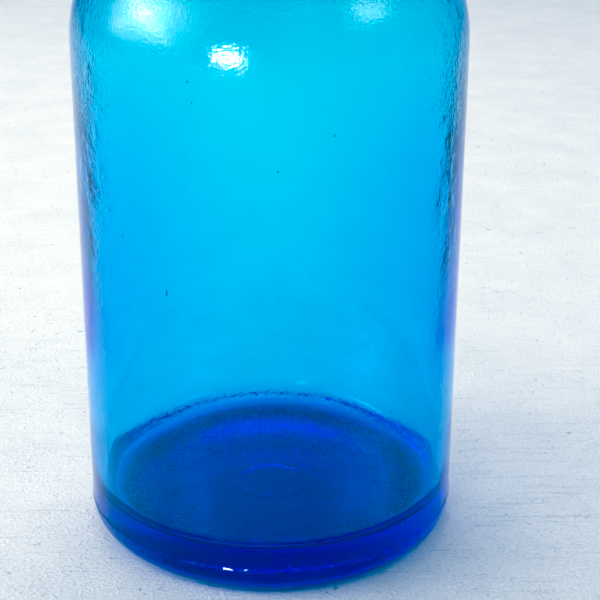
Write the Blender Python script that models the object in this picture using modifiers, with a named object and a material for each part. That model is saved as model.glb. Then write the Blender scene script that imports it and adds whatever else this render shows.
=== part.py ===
"""Antique apothecary bottle: a turned body of blue glass with rounded shoulders, a narrow
neck and a tooled lip, closed by a tapered cork.

Metres, +Z up. The origin is under the middle of the base, on the plane that the bottle
stands on, and +Z is the axis that every shape here is turned about.
"""

import math

import bpy

# Glass body, outside
BODY_DIAMETER = 0.0900
SIDE_TOP = 0.1206  # height where the straight side ends and the shoulder starts
SHOULDER_RADIUS = 0.0324
HEEL_RADIUS = 0.0072
HEEL_BAND_HEIGHT = 0.0077  # the heel was blown in the mould's base plate, up to this seam
HEEL_BAND_PROUD = 0.0003
HEEL_BAND_SLOPE = 0.0009
STANDING_RING_WIDTH = 0.0036
PUSH_UP_HEIGHT = 0.0015  # the dome that keeps the middle of the base off the table

# Glass body, inside
WALL_AT_SHOULDER = 0.0016
WALL_AT_BASE = 0.0028
BASE_THICKNESS = 0.0110
FLOOR_CROWN = 0.0003
FLOOR_CORNER_RADIUS = 0.0050

# Neck and mouth
NECK_BORE_DIAMETER = 0.0172
NECK_WALL = 0.0052
NECK_LENGTH = 0.0185  # the straight neck, from the shoulder's sweep to the lip
OUTER_SWEEP_RADIUS = 0.0080  # where the shoulder turns up into the neck
INNER_SWEEP_RADIUS = 0.0130
MOUTH_TAPER = 0.09  # radius gained per unit of height
MOUTH_TAPER_DEPTH = 0.0180
MOUTH_EDGE_RADIUS = 0.0008

# Lip
LIP_HEIGHT = 0.0095
LIP_WIDTH = 0.0072  # glass beyond the mouth's edge
LIP_TOP_EDGE_RADIUS = 0.0022
LIP_UNDER_EDGE_RADIUS = 0.0030

# Cork
CORK_CLEARANCE = 0.0003
CORK_LENGTH = 0.0280
CORK_INSERTION = 0.0150
CORK_EDGE_RADIUS = 0.0010

# Fineness
TURN_STEPS = 48
ARC_STEP = math.radians(18)
MERGE_DISTANCE = 0.00001

# Sizes that follow from those above
BODY_RADIUS = BODY_DIAMETER / 2
BORE_RADIUS = NECK_BORE_DIAMETER / 2
NECK_RADIUS = BORE_RADIUS + NECK_WALL
MOUTH_RADIUS = BORE_RADIUS + MOUTH_TAPER * MOUTH_TAPER_DEPTH
LIP_RADIUS = MOUTH_RADIUS + LIP_WIDTH


def arc(centre, radius, start, end):
    """Points along an arc in the (radius, height) plane, from angle start to angle end."""
    steps = max(1, math.ceil(abs(end - start) / ARC_STEP))
    angles = [start + (end - start) * i / steps for i in range(steps + 1)]
    return [(centre[0] + radius * math.cos(a), centre[1] + radius * math.sin(a)) for a in angles]


def dome(rim_radius, rim_height, rise):
    """Points of a shallow dome, from its middle on the axis out to its rim."""
    radius = (rim_radius**2 + rise**2) / (2 * rise)
    half_angle = math.asin(rim_radius / radius)
    top = math.pi / 2
    points = arc((0.0, rim_height + rise - radius), radius, top, top - half_angle)
    return [(0.0, rim_height + rise)] + points[1:]


def shoulder(shoulder_radius, neck_radius, sweep_radius):
    """Points from the straight side up over the shoulder and round into the neck.

    The shoulder is an arc about one centre, and the sweep into the neck is a second arc
    that touches both it and the neck.
    """
    centre = (BODY_RADIUS - SHOULDER_RADIUS, SIDE_TOP)
    sweep_x = neck_radius + sweep_radius
    reach = shoulder_radius + sweep_radius
    sweep_z = SIDE_TOP + math.sqrt(reach**2 - (sweep_x - centre[0]) ** 2)
    turn = math.atan2(sweep_z - centre[1], sweep_x - centre[0])
    over = arc(centre, shoulder_radius, 0.0, turn)
    into_neck = arc((sweep_x, sweep_z), sweep_radius, turn + math.pi, math.pi)
    return over + into_neck[1:]


OUTER_SHOULDER = shoulder(SHOULDER_RADIUS, NECK_RADIUS, OUTER_SWEEP_RADIUS)
INNER_SHOULDER = shoulder(SHOULDER_RADIUS - WALL_AT_SHOULDER, BORE_RADIUS, INNER_SWEEP_RADIUS)
LIP_UNDERSIDE = OUTER_SHOULDER[-1][1] + NECK_LENGTH
MOUTH_HEIGHT = LIP_UNDERSIDE + LIP_HEIGHT
CORK_BOTTOM = MOUTH_HEIGHT - CORK_INSERTION


def taper_radius(height):
    """Radius of the mouth's tapered bore, which runs on upwards as the cork's own taper."""
    return MOUTH_RADIUS + MOUTH_TAPER * (height - MOUTH_HEIGHT)


def inside_points():
    """The inner surface, from the middle of the floor up to the mouth's edge."""
    side_radius = BODY_RADIUS - WALL_AT_BASE
    floor_radius = side_radius - FLOOR_CORNER_RADIUS
    corner = (floor_radius, BASE_THICKNESS + FLOOR_CORNER_RADIUS)
    points = dome(floor_radius, BASE_THICKNESS, FLOOR_CROWN)
    points += arc(corner, FLOOR_CORNER_RADIUS, -math.pi / 2, 0.0)[1:]
    points += INNER_SHOULDER
    points.append((BORE_RADIUS, MOUTH_HEIGHT - MOUTH_TAPER_DEPTH))
    edge_height = MOUTH_HEIGHT - MOUTH_EDGE_RADIUS
    edge = (taper_radius(edge_height) + MOUTH_EDGE_RADIUS, edge_height)
    points += arc(edge, MOUTH_EDGE_RADIUS, math.pi, math.pi / 2)
    return points


def outside_points():
    """The outer surface, from the lip's top down to the middle of the base's underside."""
    top_edge = (LIP_RADIUS - LIP_TOP_EDGE_RADIUS, MOUTH_HEIGHT - LIP_TOP_EDGE_RADIUS)
    under_edge = (LIP_RADIUS - LIP_UNDER_EDGE_RADIUS, LIP_UNDERSIDE + LIP_UNDER_EDGE_RADIUS)
    band_radius = BODY_RADIUS + HEEL_BAND_PROUD
    heel = (band_radius - HEEL_RADIUS, HEEL_RADIUS)
    ring_radius = heel[0] - STANDING_RING_WIDTH
    points = arc(top_edge, LIP_TOP_EDGE_RADIUS, math.pi / 2, 0.0)
    points += arc(under_edge, LIP_UNDER_EDGE_RADIUS, 0.0, -math.pi / 2)
    points.append((NECK_RADIUS, LIP_UNDERSIDE))
    points += OUTER_SHOULDER[::-1]
    points.append((BODY_RADIUS, HEEL_BAND_HEIGHT + HEEL_BAND_SLOPE))
    points.append((band_radius, HEEL_BAND_HEIGHT))
    points += arc(heel, HEEL_RADIUS, 0.0, -math.pi / 2)
    points += dome(ring_radius, 0.0, PUSH_UP_HEIGHT)[::-1]
    return points


def cork_points():
    """The cork, from the middle of its top out and down to the middle of its bottom."""
    top = CORK_BOTTOM + CORK_LENGTH
    top_radius = taper_radius(top) - CORK_CLEARANCE
    bottom_radius = taper_radius(CORK_BOTTOM) - CORK_CLEARANCE
    upper_edge = (top_radius - CORK_EDGE_RADIUS, top - CORK_EDGE_RADIUS)
    lower_edge = (bottom_radius - CORK_EDGE_RADIUS, CORK_BOTTOM + CORK_EDGE_RADIUS)
    points = [(0.0, top)]
    points += arc(upper_edge, CORK_EDGE_RADIUS, math.pi / 2, 0.0)
    points += arc(lower_edge, CORK_EDGE_RADIUS, 0.0, -math.pi / 2)
    points.append((0.0, CORK_BOTTOM))
    return points


def turned(name, points, origin_height, material, collection):
    """A solid turned about +Z from a profile of (radius, height) points."""
    vertices = [(radius, 0.0, height - origin_height) for radius, height in points]
    edges = [(i, i + 1) for i in range(len(vertices) - 1)]
    mesh = bpy.data.meshes.new(name)
    mesh.from_pydata(vertices, edges, [])
    mesh.materials.append(material)
    solid = bpy.data.objects.new(name, mesh)
    solid.location.z = origin_height
    collection.objects.link(solid)
    screw = solid.modifiers.new("turn", "SCREW")
    screw.axis = "Z"
    screw.angle = math.tau
    screw.steps = TURN_STEPS
    screw.render_steps = TURN_STEPS
    screw.use_merge_vertices = True
    screw.merge_threshold = MERGE_DISTANCE
    screw.use_smooth_shade = True
    return solid


def principled(name, colour, roughness):
    """A material with one Principled BSDF, and that shader node."""
    material = bpy.data.materials.new(name)
    material.use_nodes = True
    material.diffuse_color = (*colour, 1.0)
    shader = material.node_tree.nodes["Principled BSDF"]
    shader.inputs["Base Color"].default_value = (*colour, 1.0)
    shader.inputs["Roughness"].default_value = roughness
    shader.inputs["Metallic"].default_value = 0.0
    return material, shader


def blue_glass():
    material, shader = principled("blue_glass", (0.0, 0.42, 0.85), 0.03)
    shader.inputs["Transmission Weight"].default_value = 1.0
    shader.inputs["IOR"].default_value = 1.52
    return material


def cork_bark():
    material, _ = principled("cork_bark", (0.50, 0.31, 0.16), 0.85)
    return material


def remove_all_objects():
    for item in list(bpy.data.objects):
        bpy.data.objects.remove(item)


def build():
    remove_all_objects()
    collection = bpy.data.collections.new("antique_glass_bottle")
    bpy.context.scene.collection.children.link(collection)
    turned("glass_bottle", inside_points() + outside_points(), 0.0, blue_glass(), collection)
    turned("cork_stopper", cork_points(), CORK_BOTTOM, cork_bark(), collection)


build()
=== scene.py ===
"""The looks of an antique apothecary bottle: blown blue glass with its mould marks, waves and
seeds, and a natural cork, on a pale floor in soft light. Metres, in the frame of the CAD.
"""

import math
import random

import bpy
from mathutils import Matrix, Vector, noise


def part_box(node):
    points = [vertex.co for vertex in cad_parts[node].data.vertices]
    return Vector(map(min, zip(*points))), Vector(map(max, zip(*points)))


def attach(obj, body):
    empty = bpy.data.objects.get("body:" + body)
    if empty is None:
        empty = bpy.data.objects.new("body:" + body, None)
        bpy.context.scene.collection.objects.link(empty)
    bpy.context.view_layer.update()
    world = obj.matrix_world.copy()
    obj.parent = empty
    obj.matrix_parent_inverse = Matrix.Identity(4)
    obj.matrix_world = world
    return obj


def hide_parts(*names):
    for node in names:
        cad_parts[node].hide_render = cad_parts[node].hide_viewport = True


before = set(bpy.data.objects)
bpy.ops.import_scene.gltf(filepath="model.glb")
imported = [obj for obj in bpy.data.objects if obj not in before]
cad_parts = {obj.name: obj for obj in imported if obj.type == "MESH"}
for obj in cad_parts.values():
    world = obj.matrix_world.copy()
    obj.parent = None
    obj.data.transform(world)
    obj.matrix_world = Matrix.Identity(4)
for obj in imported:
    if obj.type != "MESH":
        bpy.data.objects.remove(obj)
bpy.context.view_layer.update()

MM = 0.001
_, GLASS_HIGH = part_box("glass_bottle")
CORK_LOW, CORK_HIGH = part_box("cork_stopper")

# Outside of the glass. The CAD's heel band is its widest part. The band here leaves room inside
# it for the relief that stands proud, and nothing passes the widest radius.
HEEL_BAND_PROUD = 0.30 * MM
RELIEF_ROOM = 0.28 * MM
EDGE_MARGIN = 0.01 * MM
WIDEST_RADIUS = GLASS_HIGH.x - EDGE_MARGIN
BAND_RADIUS = GLASS_HIGH.x - RELIEF_ROOM
BODY_RADIUS = GLASS_HIGH.x - HEEL_BAND_PROUD
SIDE_TOP = 120.6 * MM
SHOULDER_RADIUS = 32.4 * MM
HEEL_RADIUS = 7.2 * MM
STANDING_RING_WIDTH = 3.6 * MM
PUSH_UP_HEIGHT = 1.5 * MM
NECK_RADIUS = 13.8 * MM
OUTER_SWEEP_RADIUS = 8.0 * MM

# Inside of the glass
WALL_AT_SHOULDER = 1.6 * MM
WALL_AT_BASE = 2.8 * MM
BASE_THICKNESS = 11.0 * MM
FLOOR_CROWN = 0.3 * MM
FLOOR_CORNER_RADIUS = 5.0 * MM
BORE_RADIUS = 8.6 * MM
INNER_SWEEP_RADIUS = 13.0 * MM

# Mouth and lip
MOUTH_HEIGHT = GLASS_HIGH.z
MOUTH_TAPER = 0.09
MOUTH_TAPER_DEPTH = 18.0 * MM
MOUTH_EDGE_RADIUS = 0.8 * MM
MOUTH_RADIUS = BORE_RADIUS + MOUTH_TAPER * MOUTH_TAPER_DEPTH
LIP_RADIUS = MOUTH_RADIUS + 7.2 * MM
LIP_HEIGHT = 9.5 * MM
LIP_TOP_EDGE_RADIUS = 2.2 * MM
LIP_UNDER_EDGE_RADIUS = 3.0 * MM
LIP_UNDERSIDE = MOUTH_HEIGHT - LIP_HEIGHT

# Cork
CORK_CLEARANCE = 0.35 * MM
CORK_EDGE_RADIUS = 1.0 * MM

# Fineness of the meshes
ARC_STEP = math.radians(6)
LONGEST_STEP = 2.5 * MM
BASE_STEP = 0.9 * MM
TURN_STEP = math.radians(1.25)
SEAM_TURN_STEP = TURN_STEP / 5
SEAM_TURNS_EACH_SIDE = 8
CORK_STEP = 0.55 * MM
CORK_TURN_STEP = math.radians(2)
SEED_ARC_STEP = math.pi / 8
SEED_TURNS = 12

# Marks of the mould and of the glassmaker's tools
HEEL_SEAM_HEIGHT = 7.7 * MM
HEEL_SEAM_PROUD = 0.20 * MM
HEEL_SEAM_WIDTH = 0.42 * MM
HEEL_SEAM_ROW = HEEL_SEAM_WIDTH / 3
HEEL_SEAM_ROWS_ABOVE = 9
HEEL_SEAM_ROWS_BELOW = 3
HEEL_BAND_SLOPE = 0.9 * MM
HEEL_TOP = 20 * MM
HEEL_DEPTH = 2 * MM
GROOVE_HEIGHT = 10.5 * MM
GROOVE_WIDTH = 2.5 * MM
GROOVE_DEPTH = 0.03 * MM
SIDE_SEAM_PROUD = 0.12 * MM
SIDE_SEAM_WIDTH = 0.40 * MM
SIDE_SEAM_TOP = 170 * MM
SIDE_SEAM_FADE = (HEEL_SEAM_HEIGHT + HEEL_BAND_SLOPE, HEEL_SEAM_HEIGHT + 3 * MM)
SEAM_CROSSING_WIDTH = 2 * MM
SEAM_CROSSING_GAIN = 0.5
VALVE_MARK_RADIUS = 8.7 * MM
VALVE_MARK_WIDTH = 0.7 * MM
VALVE_MARK_PROUD = 0.18 * MM
PUSH_UP_REACH = 30 * MM

# Waves of the glass: the depth and size of each, a shift that sets it apart, and, where it isn't
# 1, how far it is drawn out upwards
OUTER_WAVES = ((0.050 * MM, 19 * MM, 3.1), (0.014 * MM, 6 * MM, 7.7, 1.6))
OUTER_SETBACK = 0.03 * MM
INNER_WAVES = ((0.16 * MM, 34 * MM, 11.3), (0.045 * MM, 9 * MM, 5.2, 1.4))
FLOOR_WAVE = (0.10 * MM, 5 * MM, 8.3)
FLOOR_CORNER_WAVE = (0.05 * MM, 2.2 * MM, 6.1)
HEEL_SEAM_WANDER = ((0.45 * MM, 3.1 * MM, 21.7), (0.30 * MM, 1.3 * MM, 4.9))
HEEL_SEAM_SHARE = 0.8
HEEL_SEAM_UNEVENNESS = (0.6, 2.3 * MM, 14.2)
GROOVE_UNEVENNESS = (1.0, 1.7 * MM, 9.1)

# Heights and radii between which the relief fades or the wall changes
OUTER_RELIEF_STARTS = (0.4 * MM, 5 * MM)
OUTER_RELIEF_ENDS = (176 * MM, 181 * MM)
INNER_RELIEF_ENDS = (158 * MM, 168 * MM)
SIDES_THICKEN = (28 * MM, 52 * MM)
SIDES_THIN = (85 * MM, 130 * MM)
SIDE_THICKENING = 1.15 * MM
UPPER_WALL_THINS = (70 * MM, 125 * MM)
UPPER_THINNING = 0.20 * MM
FLOOR_SETTLES = (38 * MM, 30 * MM)
INNER_FLOOR_TOP = 20 * MM

# Seeds, which are bubbles in the glass. The placed ones have an azimuth in degrees, and a radius,
# height, width and length in millimetres.
PLACED_SEEDS = (
    (-46, 43.2, 11.9, 1.1, 1.4),
    (-120, 43.7, 72.8, 0.45, 1.5),
    (-141, 44.0, 88.0, 0.45, 1.0),
    (-112, 43.9, 119.0, 0.42, 0.6),
    (-88, 44.1, 101.3, 0.36, 0.45),
    (-73, 44.1, 108.3, 0.38, 0.5),
    (-124, 43.5, 29.7, 0.5, 1.1),
    (-99, 40.5, 6.4, 0.35, 0.5),
    (-84, 39.0, 7.2, 0.28, 0.4),
)
PLACED_SEED_LEAN = (0.12, 0.1, 1.0)
SMALL_SEED_COUNT = 46
SMALL_SEED_WIDTHS = (0.12, 0.30)
SMALL_SEED_STRETCH = (1.0, 2.2)
SHARE_IN_BASE = 0.45
BASE_SEED_REACH = 33 * MM
BASE_SEED_HEIGHTS = (3.5, 8.0)
BASE_SEED_RISE = 0.2
WALL_SEED_RADIUS = BODY_RADIUS - 0.75 * MM
WALL_SEED_HEIGHTS = (22, 116)
WALL_SEED_LEAN = (0.1, 0.1, 1.0)

# Camera, fitted to the outline of the bottle. Angles in radians, lens and sensor in millimetres.
CAMERA_DISTANCE = 323.8 * MM
CAMERA_HEIGHT = 182.8 * MM
CAMERA_TILT = 0.3729
CAMERA_YAW = 0.0219
CAMERA_ROLL = 0.0054
CAMERA_LENS = 86.0
CAMERA_CLIP_START = 10 * MM
SENSOR = 36.0
BOUNCES_IN_GLASS = 32
GLOSSY_BOUNCES = 16


# ---------------------------------------------------------------- turned shapes


def arc(centre, radius, start, end, step=ARC_STEP):
    """Points along an arc in the (radius, height) plane."""
    steps = max(2, math.ceil(abs(end - start) / step))
    angles = [start + (end - start) * i / steps for i in range(steps + 1)]
    return [(centre[0] + radius * math.cos(a), centre[1] + radius * math.sin(a)) for a in angles]


def dome(rim_radius, rim_height, rise):
    """Points of a shallow dome, from its middle out to its rim."""
    top = rim_height + rise
    steps = math.ceil(rim_radius / LONGEST_STEP)
    radii = [rim_radius * i / steps for i in range(steps + 1)]
    return [(r, top - rise * (r / rim_radius) ** 2) for r in radii]


def shoulder(shoulder_radius, neck_radius, sweep_radius):
    """Points from the straight side over the shoulder and round into the neck."""
    centre = (BODY_RADIUS - SHOULDER_RADIUS, SIDE_TOP)
    sweep_x = neck_radius + sweep_radius
    reach = shoulder_radius + sweep_radius
    sweep_z = SIDE_TOP + math.sqrt(reach**2 - (sweep_x - centre[0]) ** 2)
    turn = math.atan2(sweep_z - centre[1], sweep_x - centre[0])
    over = arc(centre, shoulder_radius, 0.0, turn)
    into_neck = arc((sweep_x, sweep_z), sweep_radius, turn + math.pi, math.pi)
    return over + into_neck[1:]


def divided(points, longest):
    """The same outline, with points added so that no step is longer than the given one."""
    result = [points[0]]
    for (r0, z0), (r1, z1) in zip(points, points[1:]):
        steps = max(1, math.ceil(math.hypot(r1 - r0, z1 - z0) / longest))
        for i in range(1, steps + 1):
            result.append((r0 + (r1 - r0) * i / steps, z0 + (z1 - z0) * i / steps))
    return result


def inside_outline():
    """The inside of the glass, from the middle of its floor up to the mouth's edge."""
    side_radius = BODY_RADIUS - WALL_AT_BASE
    floor_radius = side_radius - FLOOR_CORNER_RADIUS
    corner = (floor_radius, BASE_THICKNESS + FLOOR_CORNER_RADIUS)
    taper_at_edge = MOUTH_RADIUS - MOUTH_TAPER * MOUTH_EDGE_RADIUS
    edge = (taper_at_edge + MOUTH_EDGE_RADIUS, MOUTH_HEIGHT - MOUTH_EDGE_RADIUS)
    points = dome(floor_radius, BASE_THICKNESS, FLOOR_CROWN)
    points += arc(corner, FLOOR_CORNER_RADIUS, -math.pi / 2, 0.0)[1:]
    points += shoulder(SHOULDER_RADIUS - WALL_AT_SHOULDER, BORE_RADIUS, INNER_SWEEP_RADIUS)
    points.append((BORE_RADIUS, MOUTH_HEIGHT - MOUTH_TAPER_DEPTH))
    points += arc(edge, MOUTH_EDGE_RADIUS, math.pi, math.pi / 2)
    return divided(points, LONGEST_STEP)


def outside_outline():
    """The outside of the glass, from the top of the lip down to the middle of the underside."""
    top_edge = (LIP_RADIUS - LIP_TOP_EDGE_RADIUS, MOUTH_HEIGHT - LIP_TOP_EDGE_RADIUS)
    under_edge = (LIP_RADIUS - LIP_UNDER_EDGE_RADIUS, LIP_UNDERSIDE + LIP_UNDER_EDGE_RADIUS)
    heel = (BAND_RADIUS - HEEL_RADIUS, HEEL_RADIUS)
    ring_radius = heel[0] - STANDING_RING_WIDTH
    points = arc(top_edge, LIP_TOP_EDGE_RADIUS, math.pi / 2, 0.0)
    points += arc(under_edge, LIP_UNDER_EDGE_RADIUS, 0.0, -math.pi / 2)
    points.append((NECK_RADIUS, LIP_UNDERSIDE))
    points += shoulder(SHOULDER_RADIUS, NECK_RADIUS, OUTER_SWEEP_RADIUS)[::-1]
    for row in range(HEEL_SEAM_ROWS_ABOVE, -HEEL_SEAM_ROWS_BELOW - 1, -1):
        height = HEEL_SEAM_HEIGHT + HEEL_SEAM_ROW * row
        above = smooth_between(height, HEEL_SEAM_HEIGHT, HEEL_SEAM_HEIGHT + HEEL_BAND_SLOPE)
        points.append((BAND_RADIUS + (BODY_RADIUS - BAND_RADIUS) * above, height))
    points += arc(heel, HEEL_RADIUS, 0.0, -math.pi / 2)
    under = divided(dome(ring_radius, 0.0, PUSH_UP_HEIGHT)[::-1], BASE_STEP)
    return divided(points, LONGEST_STEP) + under


def turn_angles():
    """Angles round the axis, closer together at the two side seams."""
    steps = round(math.tau / TURN_STEP)
    angles = {round(math.tau * i / steps, 9) for i in range(steps)}
    for seam in (0.0, math.pi):
        for i in range(-SEAM_TURNS_EACH_SIDE, SEAM_TURNS_EACH_SIDE + 1):
            angles.add(round((seam + i * SEAM_TURN_STEP) % math.tau, 9))
    return sorted(angles)


def normals_of(points):
    """The outline's outward directions in the (radius, height) plane, off the material."""
    result = []
    for i in range(len(points)):
        r0, z0 = points[max(i - 1, 0)]
        r1, z1 = points[min(i + 1, len(points) - 1)]
        length = math.hypot(r1 - r0, z1 - z0) or 1.0
        result.append((-(z1 - z0) / length, (r1 - r0) / length))
    return result


def around(angle, radius, height):
    """A place at an angle round the bottle's axis."""
    return Vector((radius * math.cos(angle), radius * math.sin(angle), height))


def turned(points, angles, reliefs):
    """The vertices and faces of a closed shape turned from an outline between two poles.

    Each point of the outline has a relief, which gives how far a place is moved off the surface.
    """
    vertices = []
    rings = []
    last = len(points) - 1
    for index, ((radius, height), (nr, nz)) in enumerate(zip(points, normals_of(points))):
        pole = index in (0, last)
        ring = []
        for angle in angles[:1] if pole else angles:
            place = around(angle, radius, height)
            off_surface = around(angle, 0.0 if pole else nr, nz)
            ring.append(len(vertices))
            vertices.append(place + reliefs[index](place) * off_surface)
        rings.append(ring)
    faces = []
    count = len(angles)
    for upper, lower in zip(rings, rings[1:]):
        for i in range(count):
            j = (i + 1) % count
            if len(upper) == 1:
                faces.append((upper[0], lower[i], lower[j]))
            elif len(lower) == 1:
                faces.append((upper[i], lower[0], upper[j]))
            else:
                faces.append((upper[i], lower[i], lower[j], upper[j]))
    return vertices, faces


def new_piece(name, vertices, faces, material):
    """A smooth mesh object with one material."""
    mesh = bpy.data.meshes.new(name)
    mesh.from_pydata([tuple(v) for v in vertices], [], faces)
    mesh.validate()
    mesh.shade_smooth()
    mesh.materials.append(material)
    piece = bpy.data.objects.new(name, mesh)
    bpy.context.scene.collection.objects.link(piece)
    return piece


# ---------------------------------------------------------------- relief of the glass


def wave(place, depth, size, shift, stretch=1.0):
    """Smooth noise from about -depth to depth, with features of a given size."""
    x, y, z = place.x / size, place.y / size, place.z / (size * stretch)
    return depth * noise.noise(Vector((x + shift, y, z - shift)))


def waves(place, several):
    return sum(wave(place, *one) for one in several)


def ridge(distance, width):
    """1 at a line, falling smoothly to 0 beside it."""
    return math.exp(-((distance / width) ** 2))


def smooth_between(value, low, high):
    """0 at low and before, 1 at high and after, and smooth between them."""
    t = min(1.0, max(0.0, (value - low) / (high - low)))
    return t * t * (3 - 2 * t)


def heel_seam_relief(place):
    """The ragged seam where the mould's base met its sides, and the soft groove above it."""
    at_side_seam = SEAM_CROSSING_GAIN * ridge(place.y, SEAM_CROSSING_WIDTH)
    share = HEEL_SEAM_SHARE + wave(place, *HEEL_SEAM_UNEVENNESS) + at_side_seam
    off_line = place.z - HEEL_SEAM_HEIGHT - waves(place, HEEL_SEAM_WANDER)
    seam = HEEL_SEAM_PROUD * share * ridge(off_line, HEEL_SEAM_WIDTH)
    groove = GROOVE_DEPTH * ridge(place.z - GROOVE_HEIGHT, GROOVE_WIDTH)
    return seam - groove * (1 + wave(place, *GROOVE_UNEVENNESS))


def outer_relief(place):
    """Waves, mould seams and the valve mark on the outside of the glass."""
    radius = math.hypot(place.x, place.y)
    below_lip = 1 - smooth_between(place.z, *OUTER_RELIEF_ENDS)
    free = smooth_between(place.z, *OUTER_RELIEF_STARTS) * below_lip
    off = free * (waves(place, OUTER_WAVES) - OUTER_SETBACK)
    if place.z < HEEL_TOP and radius > BODY_RADIUS - HEEL_DEPTH:
        off += heel_seam_relief(place)
    if place.z < SIDE_SEAM_TOP:
        above_heel = smooth_between(place.z, *SIDE_SEAM_FADE)
        off += SIDE_SEAM_PROUD * ridge(place.y, SIDE_SEAM_WIDTH) * above_heel
    if place.z < PUSH_UP_HEIGHT and radius < PUSH_UP_REACH:
        off += VALVE_MARK_PROUD * ridge(radius - VALVE_MARK_RADIUS, VALVE_MARK_WIDTH)
    return min(off, WIDEST_RADIUS - radius)


def no_relief(_):
    return 0.0


def inner_relief(place):
    """The uneven inside of the glass, thicker at the two sides of the lower body."""
    off = waves(place, INNER_WAVES)
    thick = smooth_between(place.z, *SIDES_THICKEN) * (1 - smooth_between(place.z, *SIDES_THIN))
    off += thick * SIDE_THICKENING * (place.x / BODY_RADIUS) ** 2
    off -= UPPER_THINNING * smooth_between(place.z, *UPPER_WALL_THINS)
    if place.z < INNER_FLOOR_TOP:
        settled = smooth_between(math.hypot(place.x, place.y), *FLOOR_SETTLES)
        off += settled * wave(place, *FLOOR_WAVE) + (1 - settled) * wave(place, *FLOOR_CORNER_WAVE)
    return off * (1 - smooth_between(place.z, *INNER_RELIEF_ENDS))


# ---------------------------------------------------------------- shader nodes


def add(tree, kind, inputs, **settings):
    """A new shader node, with a value or a link for each named or numbered input."""
    made = tree.nodes.new(kind)
    for key, value in settings.items():
        setattr(made, key, value)
    for key, value in inputs.items():
        if isinstance(value, bpy.types.NodeSocket):
            tree.links.new(value, made.inputs[key])
        else:
            made.inputs[key].default_value = value
    return made


def calc(tree, operation, *values):
    return add(tree, "ShaderNodeMath", dict(enumerate(values)), operation=operation).outputs[0]


def product(tree, value, *others):
    for other in others:
        value = calc(tree, "MULTIPLY", value, other)
    return value


def plus(tree, base, value, weight):
    """A base with a weighted value added to it."""
    return calc(tree, "MULTIPLY_ADD", value, weight, base)


def centred(tree, value):
    """A value from 0 to 1, moved to lie from -0.5 to 0.5."""
    return calc(tree, "SUBTRACT", value, 0.5)


def smooth_map(tree, value, low, high, low_to=0.0, high_to=1.0):
    """low_to where the value is low, high_to where it is high, and smooth between them."""
    inputs = {"Value": value, "From Min": low, "From Max": high, "To Min": low_to, "To Max": high_to}
    mapped = add(tree, "ShaderNodeMapRange", inputs, interpolation_type="SMOOTHSTEP")
    return mapped.outputs["Result"]


def band(tree, value, one_edge, other_edge):
    """1 between two edges, each of which gives where the band is 0 and where it is 1."""
    return product(tree, smooth_map(tree, value, *one_edge), smooth_map(tree, value, *other_edge))


def grain(tree, place, size, detail=2.0, distortion=0.0, roughness=0.5):
    """Noise from 0 to 1 with features of a given size in metres."""
    inputs = {"Vector": place, "Scale": 1 / size, "Detail": detail}
    inputs.update({"Distortion": distortion, "Roughness": roughness})
    return add(tree, "ShaderNodeTexNoise", inputs).outputs["Fac"]


def stretched(tree, place, x, y, z):
    return add(tree, "ShaderNodeMapping", {"Vector": place, "Scale": (x, y, z)}).outputs["Vector"]


def split(tree, vector):
    return add(tree, "ShaderNodeSeparateXYZ", {"Vector": vector}).outputs


def bumped(tree, shader, relief, height):
    """Gives a shader a bump, with the height of a relief of 1 in metres."""
    bump = add(tree, "ShaderNodeBump", {"Height": relief, "Strength": 1.0, "Distance": height})
    tree.links.new(bump.outputs["Normal"], shader.inputs["Normal"])


def new_material(name):
    """A material with its tree, its shader and its object coordinates."""
    material = bpy.data.materials.new(name)
    material.use_nodes = True
    tree = material.node_tree
    place = tree.nodes.new("ShaderNodeTexCoord").outputs["Object"]
    return material, tree, tree.nodes["Principled BSDF"], place


# ---------------------------------------------------------------- glass

GLASS_IOR = 1.52
GLASS_SPECULAR_LEVEL = 0.45
GLASS_SPECULAR_TINT = (0.90, 0.97, 1.0, 1.0)
GLASS_COLOUR = (0.0, 0.888, 0.9912, 1.0)
GLASS_DENSITY = 1100.0

# Places of the wrinkles: at the back of the heel, and in streaks up the two sides
HEEL_BAND_EDGES = ((2 * MM, 5 * MM), (15 * MM, 9 * MM))
BACK_OF_HEEL = (-14 * MM, 4 * MM)
STREAK_EDGES = ((34 * MM, 38 * MM), (42.5 * MM, 40 * MM))
STREAK_HEIGHTS = (62 * MM, 95 * MM)
STREAK_PATCH_SIZE = 9 * MM

# Depths of the bump in millimetres, and the heights over which they change
PEEL_SIZE = 0.9 * MM
PEEL_DEPTH = 0.022
PEEL_HEIGHTS = (25 * MM, 110 * MM)
PEEL_SHARE_BELOW = 0.10
FINE_SIZE = 0.6 * MM
FINE_HEIGHTS = (100 * MM, 116 * MM)
FINE_DEPTH_ON_BODY = 0.012
FINE_DEPTH_ON_SHOULDER = 0.060
WRINKLE_SIZE = 1.2 * MM
STREAK_DEPTH = 0.16
HEEL_WRINKLE_DEPTH = 0.20

# Wear, as roughness: on the standing ring, and as upright scuffs all over
STANDING_HEIGHTS = (1.1 * MM, 0.2 * MM)
RUBBED_SIZE = 0.8 * MM
RUBBED_ROUGHNESS = 0.4
SCUFF_SIZE = 0.9 * MM
SCUFF_ROUGHNESS = 0.10


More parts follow.
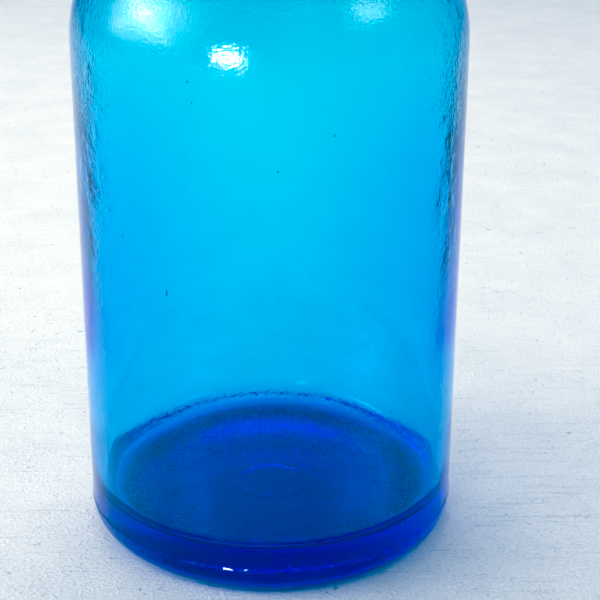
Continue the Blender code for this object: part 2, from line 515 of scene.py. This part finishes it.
def glass_relief(tree, place):
    """Orange peel all over, finer on the shoulder, with chill wrinkles at the heel and sides."""
    across, along, height = split(tree, place)
    sideways = calc(tree, "ABSOLUTE", across)
    back = smooth_map(tree, along, *BACK_OF_HEEL)
    near_heel = product(tree, band(tree, height, *HEEL_BAND_EDGES), back)
    rising = smooth_map(tree, height, *STREAK_HEIGHTS)
    patchy = smooth_map(tree, grain(tree, place, STREAK_PATCH_SIZE), 0.42, 0.62)
    streak = product(tree, band(tree, sideways, *STREAK_EDGES), rising, patchy)
    peel = grain(tree, place, PEEL_SIZE, 1.0)
    fine = grain(tree, place, FINE_SIZE, 1.0)
    wrinkles = grain(tree, stretched(tree, place, 1.0, 1.0, 0.6), WRINKLE_SIZE, 2.0, 1.0)
    fine_depths = (FINE_DEPTH_ON_BODY, FINE_DEPTH_ON_SHOULDER)
    fine_depth = smooth_map(tree, height, *FINE_HEIGHTS, *fine_depths)
    relief = plus(tree, product(tree, fine, fine_depth), peel, PEEL_DEPTH)
    relief = product(tree, relief, smooth_map(tree, height, *PEEL_HEIGHTS, PEEL_SHARE_BELOW))
    heel_depth = product(tree, near_heel, HEEL_WRINKLE_DEPTH)
    return plus(tree, relief, wrinkles, plus(tree, heel_depth, streak, STREAK_DEPTH))


def glass_wear(tree, place):
    """Roughness where the standing ring has rubbed, and along scuffs."""
    standing = smooth_map(tree, split(tree, place)["Z"], *STANDING_HEIGHTS)
    rubbed = smooth_map(tree, grain(tree, place, RUBBED_SIZE, 4.0), 0.42, 0.6)
    upright = stretched(tree, place, 1.0, 1.0, 0.06)
    scuffs = smooth_map(tree, grain(tree, upright, SCUFF_SIZE, 3.0), 0.66, 0.72)
    scuffs = product(tree, scuffs, SCUFF_ROUGHNESS)
    return plus(tree, scuffs, product(tree, standing, rubbed), RUBBED_ROUGHNESS)


def glass_material():
    """Clear glass that takes its blue from absorption through its thickness."""
    material, tree, shader, place = new_material("blue_glass")
    shader.inputs["Base Color"].default_value = (1, 1, 1, 1)
    shader.inputs["IOR"].default_value = GLASS_IOR
    shader.inputs["Transmission Weight"].default_value = 1.0
    shader.inputs["Specular IOR Level"].default_value = GLASS_SPECULAR_LEVEL
    shader.inputs["Specular Tint"].default_value = GLASS_SPECULAR_TINT
    bumped(tree, shader, glass_relief(tree, place), MM)
    tree.links.new(glass_wear(tree, place), shader.inputs["Roughness"])
    inputs = {"Color": GLASS_COLOUR, "Density": GLASS_DENSITY}
    volume = add(tree, "ShaderNodeVolumeAbsorption", inputs)
    tree.links.new(volume.outputs["Volume"], tree.nodes["Material Output"].inputs["Volume"])
    return material


def seeds():
    """The seeds in the wall and the base: a few placed ones, then many small ones."""
    for azimuth, radius, height, width, length in PLACED_SEEDS:
        centre = around(math.radians(azimuth), radius * MM, height * MM)
        yield centre, width * MM, length * MM, Vector(PLACED_SEED_LEAN)
    chance = random.Random(7)
    for _ in range(SMALL_SEED_COUNT):
        angle = chance.uniform(0.0, math.tau)
        width = chance.uniform(*SMALL_SEED_WIDTHS) * MM
        length = width * chance.uniform(*SMALL_SEED_STRETCH)
        if chance.random() < SHARE_IN_BASE:
            radius = BASE_SEED_REACH * math.sqrt(chance.random())
            centre = around(angle, radius, chance.uniform(*BASE_SEED_HEIGHTS) * MM)
            direction = around(angle * 3, 1.0, BASE_SEED_RISE)
        else:
            centre = around(angle, WALL_SEED_RADIUS, chance.uniform(*WALL_SEED_HEIGHTS) * MM)
            direction = Vector(WALL_SEED_LEAN)
        yield centre, width, length, direction


def add_seeds(vertices, faces):
    """Adds each seed as a closed bubble, drawn out along a direction and facing into itself."""
    half_circle = arc((0.0, 0.0), 1.0, -math.pi / 2, math.pi / 2, SEED_ARC_STEP)
    angles = [math.tau * i / SEED_TURNS for i in range(SEED_TURNS)]
    ball, ball_faces = turned(half_circle, angles, [no_relief] * len(half_circle))
    for centre, width, length, direction in seeds():
        turn = direction.to_track_quat("Z", "X").to_matrix().to_4x4()
        scale = Matrix.Diagonal((width / 2, width / 2, length / 2, 1.0))
        placing = Matrix.Translation(centre) @ turn @ scale
        start = len(vertices)
        vertices += [placing @ vertex for vertex in ball]
        faces += [tuple(start + corner for corner in face) for face in ball_faces]


def make_glass():
    inside = inside_outline()
    outside = outside_outline()
    reliefs = [inner_relief] * len(inside) + [outer_relief] * len(outside)
    vertices, faces = turned(inside + outside, turn_angles(), reliefs)
    add_seeds(vertices, faces)
    return new_piece("bottle_glass", vertices, faces, glass_material())


# ---------------------------------------------------------------- cork

# Relief, with its depths in millimetres
LENTICEL_WIDTH = 3.4 * MM
LENTICEL_HEIGHT = 1.0 * MM
LENTICEL_DEPTH = 0.30
PIT_SIZE = 1.1 * MM
PIT_SHIFT = Vector((5.0, 1.0, 3.0))
PIT_DEPTH = 0.22
SOFT_SIZE = 6 * MM
SOFT_DEPTH = 0.05
CORK_SETBACK = 0.05

CORK_TONES = (
    (0.30, (0.26, 0.135, 0.060, 1.0)),
    (0.47, (0.47, 0.290, 0.150, 1.0)),
    (0.66, (0.66, 0.460, 0.270, 1.0)),
)
LENTICEL_COLOUR = (0.085, 0.040, 0.020, 1)
BARK_SIZE = 5 * MM
FINE_BARK_SIZE = 0.7 * MM
BARK_SHARE = 0.45
FINE_BARK_SHARE = 0.55
PORE_SPACING = 1.2 * MM
PORE_DARKNESS = 0.75
BARK_ROUGHNESS = 0.72
LENTICEL_ROUGHNESS = 0.95
FINE_BARK_BUMP = 0.10
LENTICEL_BUMP = 0.15

# Numbers of a Mix node's sockets when it mixes colours
MIX_FACTOR, MIX_FIRST, MIX_SECOND = 0, 6, 7
MIX_RESULT = 2


def cork_outline():
    """The cork from the middle of its top out and down to the middle of its bottom."""
    low, high = CORK_LOW.z, CORK_HIGH.z
    low_radius = MOUTH_RADIUS + MOUTH_TAPER * (low - MOUTH_HEIGHT) - CORK_CLEARANCE
    high_radius = MOUTH_RADIUS + MOUTH_TAPER * (high - MOUTH_HEIGHT) - CORK_CLEARANCE
    lower_edge = (low_radius - CORK_EDGE_RADIUS, low + CORK_EDGE_RADIUS)
    upper_edge = (high_radius - CORK_EDGE_RADIUS, high - CORK_EDGE_RADIUS)
    points = [(0.0, high)] + arc(upper_edge, CORK_EDGE_RADIUS, math.pi / 2, 0.0)
    points += arc(lower_edge, CORK_EDGE_RADIUS, 0.0, -math.pi / 2) + [(0.0, low)]
    return divided(points, CORK_STEP)


def cork_relief(place):
    """Pits and lenticels sunk in the bark. Nothing stands proud of the turned shape."""
    flat = Vector((place.x / LENTICEL_WIDTH, place.y / LENTICEL_WIDTH, place.z / LENTICEL_HEIGHT))
    lenticels = smooth_between(noise.noise(flat), 0.30, 0.55)
    pits = smooth_between(noise.noise(place / PIT_SIZE + PIT_SHIFT), 0.34, 0.6)
    soft = SOFT_DEPTH * noise.noise(place / SOFT_SIZE)
    return -MM * (LENTICEL_DEPTH * lenticels + PIT_DEPTH * pits + CORK_SETBACK + soft)


def tones(tree, value, colours):
    """Colours from a value, through pairs of a position and a colour."""
    ramp = add(tree, "ShaderNodeValToRGB", {"Fac": value})
    elements = ramp.color_ramp.elements
    while len(elements) < len(colours):
        elements.new(1.0)
    for element, (position, colour) in zip(elements, colours):
        element.position = position
        element.color = colour
    return ramp.outputs["Color"]


def cork_material():
    """Bark with rows of dark lenticels, fine pores and a paler grain between them."""
    material, tree, shader, place = new_material("cork_bark")
    broad = product(tree, grain(tree, place, BARK_SIZE, 4.0), BARK_SHARE)
    fine = grain(tree, place, FINE_BARK_SIZE, 6.0)
    bark = tones(tree, plus(tree, broad, fine, FINE_BARK_SHARE), CORK_TONES)
    in_rows = stretched(tree, place, 0.3, 0.3, 1.0)
    lenticels = smooth_map(tree, grain(tree, in_rows, LENTICEL_HEIGHT, 3.0), 0.60, 0.70)
    cells = add(tree, "ShaderNodeTexVoronoi", {"Vector": place, "Scale": 1 / PORE_SPACING})
    pores = smooth_map(tree, cells.outputs["Distance"], 0.28, 0.12)
    dark = calc(tree, "MAXIMUM", lenticels, product(tree, pores, PORE_DARKNESS))
    inputs = {MIX_FACTOR: dark, MIX_FIRST: bark, MIX_SECOND: LENTICEL_COLOUR}
    colour = add(tree, "ShaderNodeMix", inputs, data_type="RGBA").outputs[MIX_RESULT]
    tree.links.new(colour, shader.inputs["Base Color"])
    roughness = smooth_map(tree, dark, 0.0, 1.0, BARK_ROUGHNESS, LENTICEL_ROUGHNESS)
    tree.links.new(roughness, shader.inputs["Roughness"])
    relief = plus(tree, product(tree, fine, FINE_BARK_BUMP), dark, -LENTICEL_BUMP)
    bumped(tree, shader, relief, MM)
    return material


def make_cork():
    points = cork_outline()
    steps = round(math.tau / CORK_TURN_STEP)
    angles = [math.tau * i / steps for i in range(steps)]
    vertices, faces = turned(points, angles, [cork_relief] * len(points))
    return new_piece("cork_bark_body", vertices, faces, cork_material())


# ---------------------------------------------------------------- floor

FLOOR_SIZE = 12.0
FLOOR_DROP = 0.1 * MM
FLOOR_ROUGHNESS = 0.8
FLOOR_BUMP_HEIGHT = 1.6 * MM

# How much each texture of the plaster adds to its tone, and to its bump
PLASTER_TONE = 0.80
BLOTCH_TONE = 0.20
GRAIN_TONE = 0.60
SPECK_TONE = 0.07
SCRATCH_TONE = -0.07
PIT_TONE = -0.34
# The last is painted shade, which darkens the floor in front of the bottle
FRONT_PAINTED_SHADE = -0.19
GRAIN_BUMP = 0.30
SPECK_BUMP = 0.14
SCRATCH_BUMP = -0.08

# Painted shade: the floor is greyer in front of the bottle, between these places along Y, where less
# light falls
FRONT_SHADE_EDGES = ((20 * MM, -95 * MM), (-420 * MM, -150 * MM))

# Green and blue are a paler copy of the tone, so that the plaster's dark marks are cool
COOL_SHARE = 0.90
COOL_LIFT = 0.09

# A painted blue-grey contact shadow under the bottle's standing ring, as distances from its axis,
# and how much of the red, green and blue it takes
CONTACT_SHADOW_EDGES = ((30 * MM, 37 * MM), (43 * MM, 39 * MM))
CONTACT_SHADOW_RED, CONTACT_SHADOW_GREEN, CONTACT_SHADOW_BLUE = 0.60, 0.60, 0.28


def plaster_marks(tree, place):
    """Masks for the plaster's grain, pale specks, hair scratches and pits."""
    grains = grain(tree, place, 0.9 * MM, 5.0, 0.0, 0.7)
    specks = smooth_map(tree, grain(tree, place, 2.6 * MM, 4.0, 1.5), 0.56, 0.70)
    hairs = grain(tree, stretched(tree, place, 0.05, 1.0, 1.0), 1.1 * MM, 3.0, 0.6)
    scratches = smooth_map(tree, hairs, 0.61, 0.66)
    pits = smooth_map(tree, grain(tree, place, 2.2 * MM, 3.0, 0.8), 0.665, 0.73)
    return grains, specks, scratches, pits


def floor_material():
    """Pale limewashed plaster: soft blotches, fine grain, pale specks and a few hair scratches, with
    painted shade in front of the bottle and a painted contact shadow under its standing ring.
    """
    material, tree, shader, place = new_material("pale_plaster")
    grains, specks, scratches, pits = plaster_marks(tree, place)
    blotches = grain(tree, place, 26 * MM, 5.0, 0.4, 0.6)
    tone = plus(tree, PLASTER_TONE, centred(tree, blotches), BLOTCH_TONE)
    tone = plus(tree, tone, centred(tree, grains), GRAIN_TONE)
    tone = plus(tree, tone, specks, SPECK_TONE)
    tone = plus(tree, tone, scratches, SCRATCH_TONE)
    tone = plus(tree, tone, pits, PIT_TONE)
    # Painted shade: darker floor in front of the bottle
    tone = plus(tree, tone, band(tree, split(tree, place)["Y"], *FRONT_SHADE_EDGES), FRONT_PAINTED_SHADE)
    cool = plus(tree, COOL_LIFT, tone, COOL_SHARE)
    from_axis = add(tree, "ShaderNodeVectorMath", {0: place}, operation="LENGTH").outputs["Value"]
    # Painted contact shadow: a blue-grey ring under the standing ring
    contact_shadow = band(tree, from_axis, *CONTACT_SHADOW_EDGES)
    red = product(tree, tone, plus(tree, 1.0, contact_shadow, -CONTACT_SHADOW_RED))
    green = product(tree, cool, plus(tree, 1.0, contact_shadow, -CONTACT_SHADOW_GREEN))
    blue = product(tree, cool, plus(tree, 1.0, contact_shadow, -CONTACT_SHADOW_BLUE))
    tint = add(tree, "ShaderNodeCombineColor", {"Red": red, "Green": green, "Blue": blue})
    tree.links.new(tint.outputs["Color"], shader.inputs["Base Color"])
    shader.inputs["Roughness"].default_value = FLOOR_ROUGHNESS
    relief = plus(tree, product(tree, specks, SPECK_BUMP), grains, GRAIN_BUMP)
    relief = plus(tree, relief, scratches, SCRATCH_BUMP)
    bumped(tree, shader, relief, FLOOR_BUMP_HEIGHT)
    return material


def make_floor():
    bpy.ops.mesh.primitive_plane_add(size=FLOOR_SIZE, location=(0, 0, -FLOOR_DROP))
    floor = bpy.context.object
    floor.name = "floor"
    floor.data.materials.append(floor_material())


# ---------------------------------------------------------------- light

LIGHTS_AIM_AT = Vector((0, 0, 0.12))
SKY_COLOUR = (0.90, 0.96, 1.0, 1)
SKY_STRENGTH = 0.46

# Unevenness of a window, in shares of its width: mottled panes, a bright core and crossed rays
PANE_SCALE = 4.0
DIM_PANE, BRIGHT_PANE = 0.55, 1.25
GLOW_REACH = 0.50
SPOT_EDGES = (0.11, 0.01)
RAY_WIDTH = 0.06
RAY_GAIN = 2.2


def softbox(name, azimuth, elevation, distance, size, radiance):
    """A soft area light that faces the bottle's shoulder. Azimuth 0 is +Y and 90 is +X."""
    a, e = math.radians(azimuth), math.radians(elevation)
    direction = Vector((math.sin(a) * math.cos(e), math.cos(a) * math.cos(e), math.sin(e)))
    light = bpy.data.lights.new(name, "AREA")
    light.shape = "RECTANGLE"
    light.size, light.size_y = size
    light.energy = radiance * size[0] * size[1] * math.pi
    lamp = bpy.data.objects.new(name, light)
    lamp.location = LIGHTS_AIM_AT + direction * distance
    lamp.rotation_euler = direction.to_track_quat("Z", "Y").to_euler()
    lamp.visible_camera = False
    bpy.context.scene.collection.objects.link(lamp)
    return light


def uneven(light, core, core_gain, softness):
    """Makes a light fade out at its edges, brighter at one place with crossed rays through it."""
    light.use_nodes = True
    tree = light.node_tree
    across = add(tree, "ShaderNodeNewGeometry", {}).outputs["Parametric"]
    u, v, _ = split(tree, across)
    inputs = {"Vector": across, "Scale": PANE_SCALE, "Detail": 3.0}
    mottle = add(tree, "ShaderNodeTexNoise", inputs).outputs["Fac"]
    amount = smooth_map(tree, mottle, 0.3, 0.7, DIM_PANE, BRIGHT_PANE)
    for side in (u, v, calc(tree, "SUBTRACT", 1.0, u), calc(tree, "SUBTRACT", 1.0, v)):
        ragged = plus(tree, side, centred(tree, mottle), softness)
        amount = product(tree, amount, smooth_map(tree, ragged, 0.0, softness))
    du = calc(tree, "SUBTRACT", u, core[0])
    dv = calc(tree, "SUBTRACT", v, core[1])
    squares = calc(tree, "ADD", product(tree, du, du), product(tree, dv, dv))
    distance = calc(tree, "SQRT", squares)
    near = smooth_map(tree, distance, GLOW_REACH, 0.0)
    spot = smooth_map(tree, distance, *SPOT_EDGES)
    rising = calc(tree, "ABSOLUTE", calc(tree, "SUBTRACT", du, dv))
    falling = calc(tree, "ABSOLUTE", calc(tree, "ADD", du, dv))
    rays = smooth_map(tree, calc(tree, "MINIMUM", rising, falling), RAY_WIDTH, 0.0)
    glow = plus(tree, calc(tree, "ADD", near, spot), product(tree, rays, near), RAY_GAIN)
    strength = product(tree, amount, plus(tree, 1.0, glow, core_gain))
    tree.links.new(strength, tree.nodes["Emission"].inputs["Strength"])


def make_light():
    """A cool even sky, a window on each side, a small lamp and a panel above the bottle."""
    world = bpy.data.worlds.new("studio")
    bpy.context.scene.world = world
    world.use_nodes = True
    background = world.node_tree.nodes["Background"]
    background.inputs["Color"].default_value = SKY_COLOUR
    background.inputs["Strength"].default_value = SKY_STRENGTH
    left_window = softbox(
        "left_window", azimuth=-107, elevation=21, distance=1.6, size=(2.3, 1.5), radiance=1.02
    )
    uneven(left_window, core=(0.44, 0.48), core_gain=6.5, softness=0.16)
    right_window = softbox(
        "right_window", azimuth=118, elevation=27, distance=1.8, size=(1.1, 0.7), radiance=5.8
    )
    uneven(right_window, core=(0.5, 0.5), core_gain=0.0, softness=0.40)
    softbox("small_lamp", azimuth=-157, elevation=2, distance=1.6, size=(0.36, 0.20), radiance=60.0)
    softbox("sky_panel", azimuth=-10, elevation=64, distance=0.9, size=(0.6, 0.5), radiance=5.0)


# ---------------------------------------------------------------- camera and view

# The view's grade: what counts as black in red, green and blue, and the curve of the blue
BLACK_LEVEL = (0.12, 0.015, 0.0)
BLUE_CURVE = ((0.14, 0.12), (0.25, 0.27), (0.38, 0.48), (0.80, 0.835))
BLUE_CURVE_END = (1.0, 0.97)
BLUE_CHANNEL = 2


def grade():
    """The plain view, with less red and a little more blue in the mid-tones."""
    view = bpy.context.scene.view_settings
    view.view_transform = "Standard"
    view.use_curve_mapping = True
    mapping = view.curve_mapping
    mapping.black_level = BLACK_LEVEL
    blue = mapping.curves[BLUE_CHANNEL]
    for position, level in BLUE_CURVE:
        blue.points.new(position, level)
    blue.points[-1].location = BLUE_CURVE_END
    mapping.update()


def make_camera():
    camera = bpy.data.cameras.new("camera")
    camera.lens = CAMERA_LENS
    camera.sensor_width = SENSOR
    camera.clip_start = CAMERA_CLIP_START
    eye = bpy.data.objects.new("camera", camera)
    place = Matrix.Translation((0, -CAMERA_DISTANCE, CAMERA_HEIGHT))
    turn = Matrix.Rotation(-CAMERA_YAW, 4, "Z") @ Matrix.Rotation(math.pi / 2 - CAMERA_TILT, 4, "X")
    eye.matrix_world = place @ turn @ Matrix.Rotation(CAMERA_ROLL, 4, "Z")
    bpy.context.scene.collection.objects.link(eye)
    bpy.context.scene.camera = eye


def let_light_through():
    """Lets enough bounces through the glass, which a ray crosses many times."""
    cycles = bpy.context.scene.cycles
    cycles.max_bounces = BOUNCES_IN_GLASS
    cycles.transmission_bounces = BOUNCES_IN_GLASS
    cycles.glossy_bounces = GLOSSY_BOUNCES


make_camera()
grade()
let_light_through()
make_floor()
make_light()
bottle = make_glass()
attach(bottle, "bottle")
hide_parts("glass_bottle")
cork = make_cork()
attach(cork, "cork")
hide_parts("cork_stopper")
